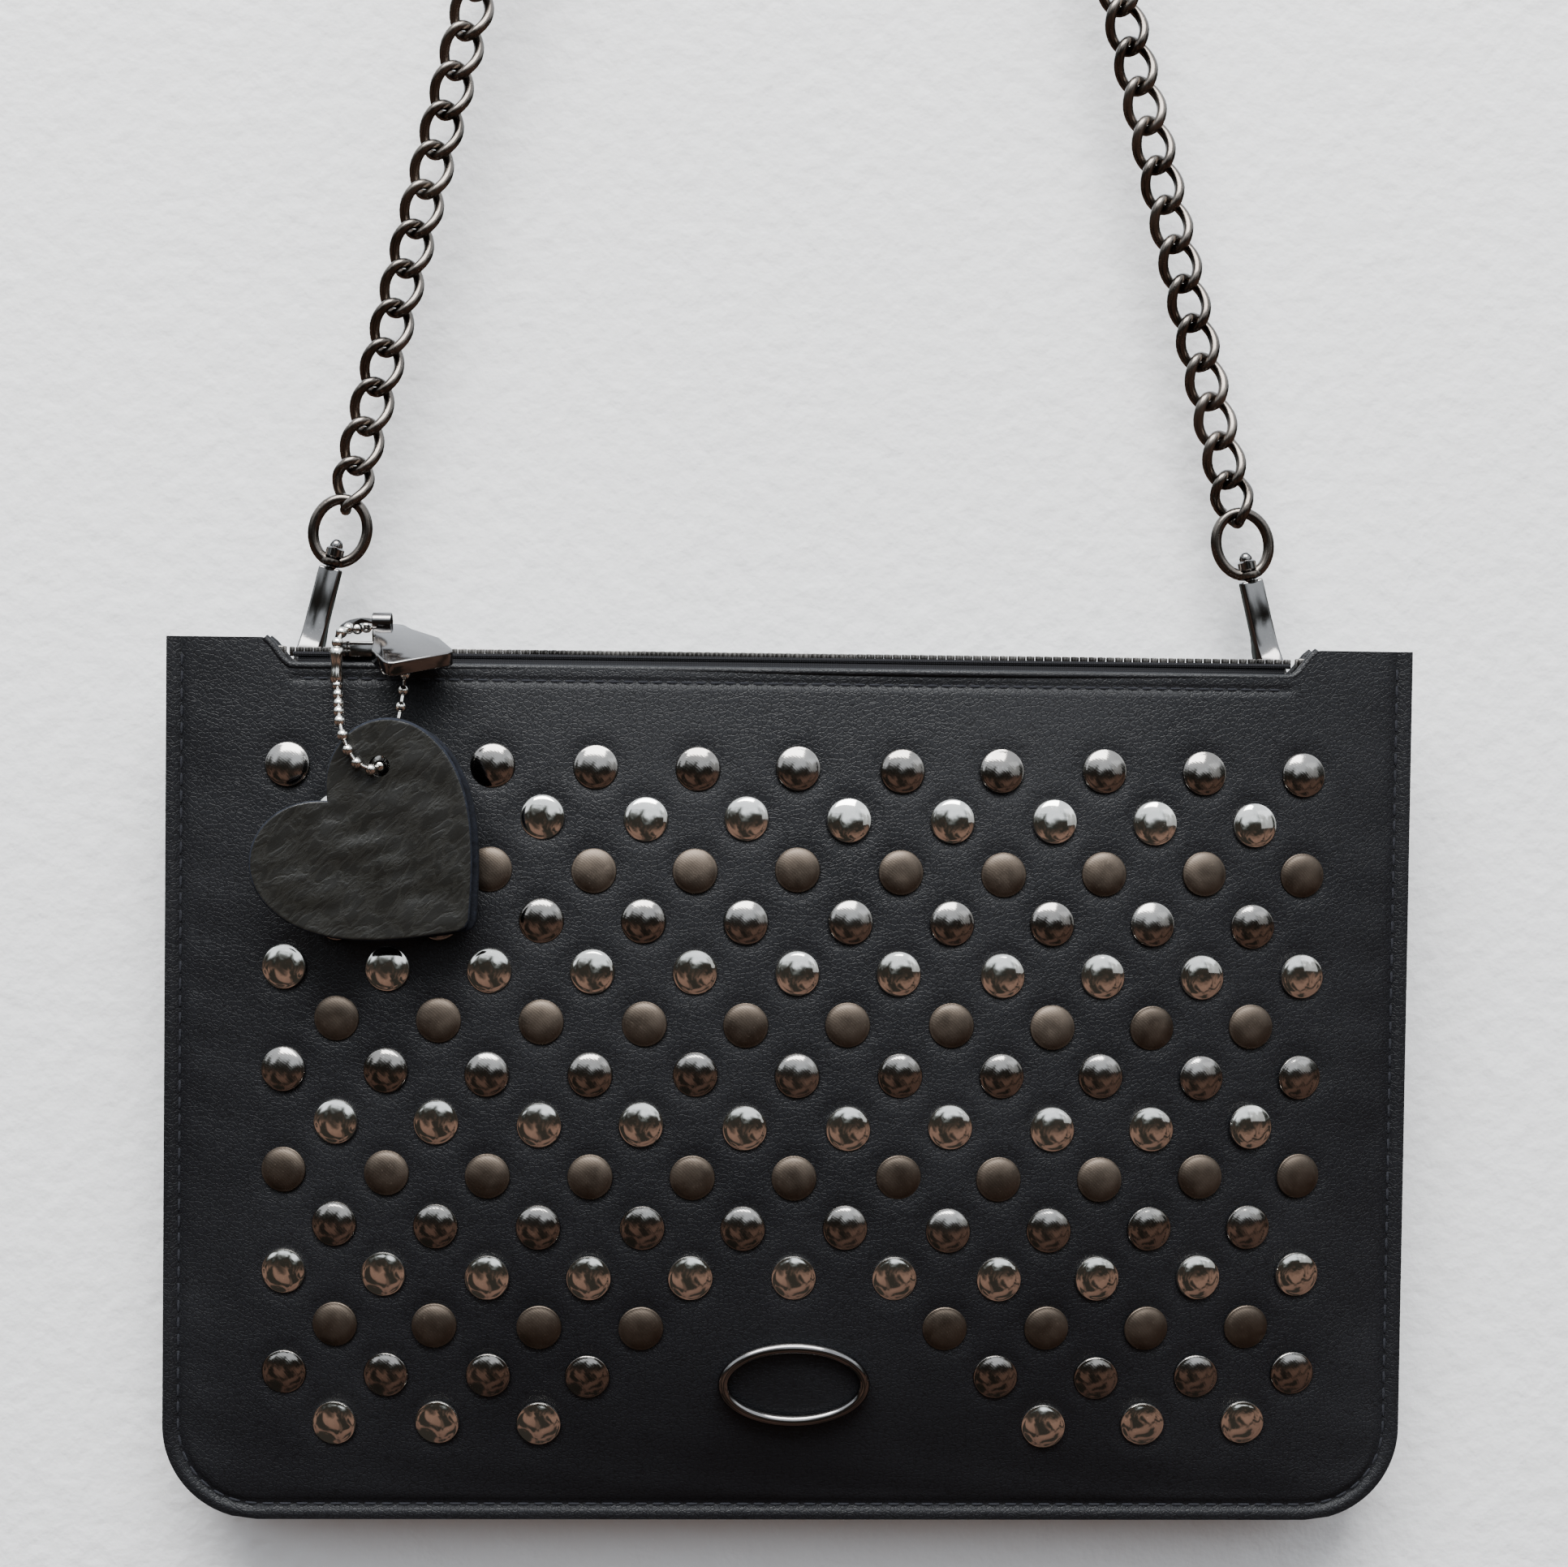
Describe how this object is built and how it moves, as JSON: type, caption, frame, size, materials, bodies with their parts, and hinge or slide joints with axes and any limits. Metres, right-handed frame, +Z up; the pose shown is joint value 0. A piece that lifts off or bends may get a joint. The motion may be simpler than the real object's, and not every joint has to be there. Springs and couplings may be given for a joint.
{
  "type": "studded zip pouch on a chain strap",
  "caption": "Flat black leather zip pouch with domed studs, hanging from a curb chain strap by swivel hooks, with a leather heart charm on the zip slider.",
  "frame": {"origin": "the highest point of the round peg that the strap hangs over, which is where the middle of the strap's arc rests", "axes": "+X to the right end of the pouch as seen from its front, +Y out of its back face, +Z up"},
  "size_m": [0.25, 0.0346, 0.5045],
  "materials": {
    "chain": "polished gunmetal plating",
    "gunmetal": "mirror gunmetal plating",
    "spring_steel": "bright wire",
    "panel_leather": "semi-matte grained black",
    "lining": "matt woven",
    "zip_tape": "matt woven",
    "zip_metal": "dark plated",
    "stud_gunmetal": "mirror dark dome",
    "stud_nickel": "mirror bright dome",
    "stud_brass": "antique satin",
    "nickel": "bright plated",
    "charm_leather": "glazed and crinkled",
    "charm_backing": "plain suede"
  },
  "bodies": {
    "strap_top": {"chain_top": "chain"},
    "left_upper_chain": {"chain_left_upper": "chain"},
    "left_lower_chain": {"chain_left_lower": "chain"},
    "left_ring": {"swivel_ring_left": "gunmetal"},
    "left_hook": {"hook_body_left": "gunmetal", "gate_pin_left": "gunmetal", "gate_spring_left": "spring_steel"},
    "left_gate": {"hook_gate_left": "gunmetal"},
    "left_d_ring": {"d_ring_left": "gunmetal"},
    "right_upper_chain": {"chain_right_upper": "chain"},
    "right_lower_chain": {"chain_right_lower": "chain"},
    "right_ring": {"swivel_ring_right": "gunmetal"},
    "right_hook": {"hook_body_right": "gunmetal", "gate_pin_right": "gunmetal", "gate_spring_right": "spring_steel"},
    "right_gate": {"hook_gate_right": "gunmetal"},
    "right_d_ring": {"d_ring_right": "gunmetal"},
    "pouch": {"front_panel": "panel_leather", "back_panel": "panel_leather", "front_lining": "lining", "back_lining": "lining", "zip_tape_front": "zip_tape", "zip_tape_back": "zip_tape", "zip_teeth_front": "zip_metal", "zip_teeth_back": "zip_metal", "zip_stop_left": "zip_metal", "zip_stop_right": "zip_metal", "studs_row_01": "stud_gunmetal", "studs_row_02": "stud_nickel", "studs_row_03": "stud_brass", "studs_row_04": "stud_gunmetal", "studs_row_05": "stud_nickel", "studs_row_06": "stud_brass", "studs_row_07": "stud_gunmetal", "studs_row_08": "stud_nickel", "studs_row_09": "stud_brass", "studs_row_10": "stud_gunmetal", "studs_row_11": "stud_nickel", "studs_row_12_left": "stud_brass", "studs_row_12_right": "stud_brass", "studs_row_13_left": "stud_gunmetal", "studs_row_13_right": "stud_gunmetal", "studs_row_14_left": "stud_nickel", "studs_row_14_right": "stud_nickel", "emblem": "gunmetal", "d_ring_tab_left": "panel_leather", "d_ring_tab_right": "panel_leather"},
    "slider": {"slider_body": "gunmetal", "ball_chain_loop": "nickel"},
    "pull": {"pull_tab": "gunmetal"},
    "charm_chain": {"ball_chain_clasp": "nickel", "ball_chain_left": "nickel", "ball_chain_right": "nickel"},
    "charm": {"heart_front": "charm_leather", "heart_back": "charm_backing"}
  },
  "joints": [
    {"name": "left_arm_swing", "type": "hinge", "parent": "strap_top", "child": "left_upper_chain", "pos_m": [-0.02257, 0.0003, -0.01085], "axis": [1, 0, 0], "range_deg": [-30, 30]},
    {"name": "left_chain_bend", "type": "hinge", "parent": "left_upper_chain", "child": "left_lower_chain", "pos_m": [-0.05603, 0.00411, -0.14699], "axis": [1, 0, 0], "range_deg": [-20, 20]},
    {"name": "left_ring_swing", "type": "hinge", "parent": "left_lower_chain", "child": "left_ring", "pos_m": [-0.09093, 0.0081, -0.29006], "axis": [1, 0, 0], "range_deg": [-15, 15]},
    {"name": "left_hook_swivel", "type": "hinge", "parent": "left_ring", "child": "left_hook", "pos_m": [-0.10079, 0.00923, -0.33051], "axis": [0.2368, -0.0271, 0.9712], "range_deg": [-12, 12]},
    {"name": "left_gate_open", "type": "hinge", "parent": "left_hook", "child": "left_gate", "pos_m": [-0.09811, 0.01232, -0.31944], "axis": [-0.9715, -0.0066, 0.2367], "range_deg": [0, 15], "stiffness_Nm_per_rad": 0.02, "springref_deg": -11.46},
    {"name": "right_arm_swing", "type": "hinge", "parent": "strap_top", "child": "right_upper_chain", "pos_m": [0.02257, 0.0003, -0.01085], "axis": [1, 0, 0], "range_deg": [-30, 30]},
    {"name": "right_chain_bend", "type": "hinge", "parent": "right_upper_chain", "child": "right_lower_chain", "pos_m": [0.05603, 0.00411, -0.14699], "axis": [1, 0, 0], "range_deg": [-20, 20]},
    {"name": "right_ring_swing", "type": "hinge", "parent": "right_lower_chain", "child": "right_ring", "pos_m": [0.09093, 0.0081, -0.29006], "axis": [1, 0, 0], "range_deg": [-15, 15]},
    {"name": "right_hook_swivel", "type": "hinge", "parent": "right_ring", "child": "right_hook", "pos_m": [0.10079, 0.00923, -0.33051], "axis": [-0.2368, -0.0271, 0.9712], "range_deg": [-12, 12]},
    {"name": "right_gate_open", "type": "hinge", "parent": "right_hook", "child": "right_gate", "pos_m": [0.09811, 0.01232, -0.31944], "axis": [-0.9715, 0.0066, -0.2367], "range_deg": [0, 15], "stiffness_Nm_per_rad": 0.02, "springref_deg": -11.46},
    {"name": "left_d_ring_swing", "type": "hinge", "parent": "left_ring", "child": "left_d_ring", "pos_m": [-0.10079, 0.00923, -0.33051], "axis": [1, 0, 0], "range_deg": [-4, 24]},
    {"name": "pouch_swing", "type": "hinge", "parent": "left_d_ring", "child": "pouch", "pos_m": [-0.10079, 0.00851, -0.34054], "axis": [1, 0, 0], "range_deg": [0, 30]},
    {"name": "right_d_ring_swing", "type": "hinge", "parent": "pouch", "child": "right_d_ring", "pos_m": [0.10079, 0.00851, -0.34054], "axis": [1, 0, 0], "range_deg": [-30, 0]},
    {"name": "slider_travel", "type": "slide", "parent": "pouch", "child": "slider", "axis": [1, 0, 0], "range_m": [0, 0.176]},
    {"name": "pull_lift", "type": "hinge", "parent": "slider", "child": "pull", "pos_m": [-0.085, -0.0007, -0.31458], "axis": [-1, 0, 0], "range_deg": [0, 100]},
    {"name": "charm_swing", "type": "hinge", "parent": "slider", "child": "charm_chain", "pos_m": [-0.084, -0.00814, -0.32049], "axis": [-1, 0, 0], "range_deg": [0, 20]},
    {"name": "heart_swing", "type": "hinge", "parent": "charm_chain", "child": "charm", "pos_m": [-0.0808, -0.01548, -0.34431], "axis": [0, 0.9996, 0.0279], "range_deg": [-35, 35]}
  ],
  "couplings": [
    {"joint": "right_arm_swing", "follows": "left_arm_swing", "ratio": 1},
    {"joint": "right_chain_bend", "follows": "left_chain_bend", "ratio": 1},
    {"joint": "right_ring_swing", "follows": "left_ring_swing", "ratio": 1},
    {"joint": "right_d_ring_swing", "follows": "pouch_swing", "ratio": -1}
  ]
}
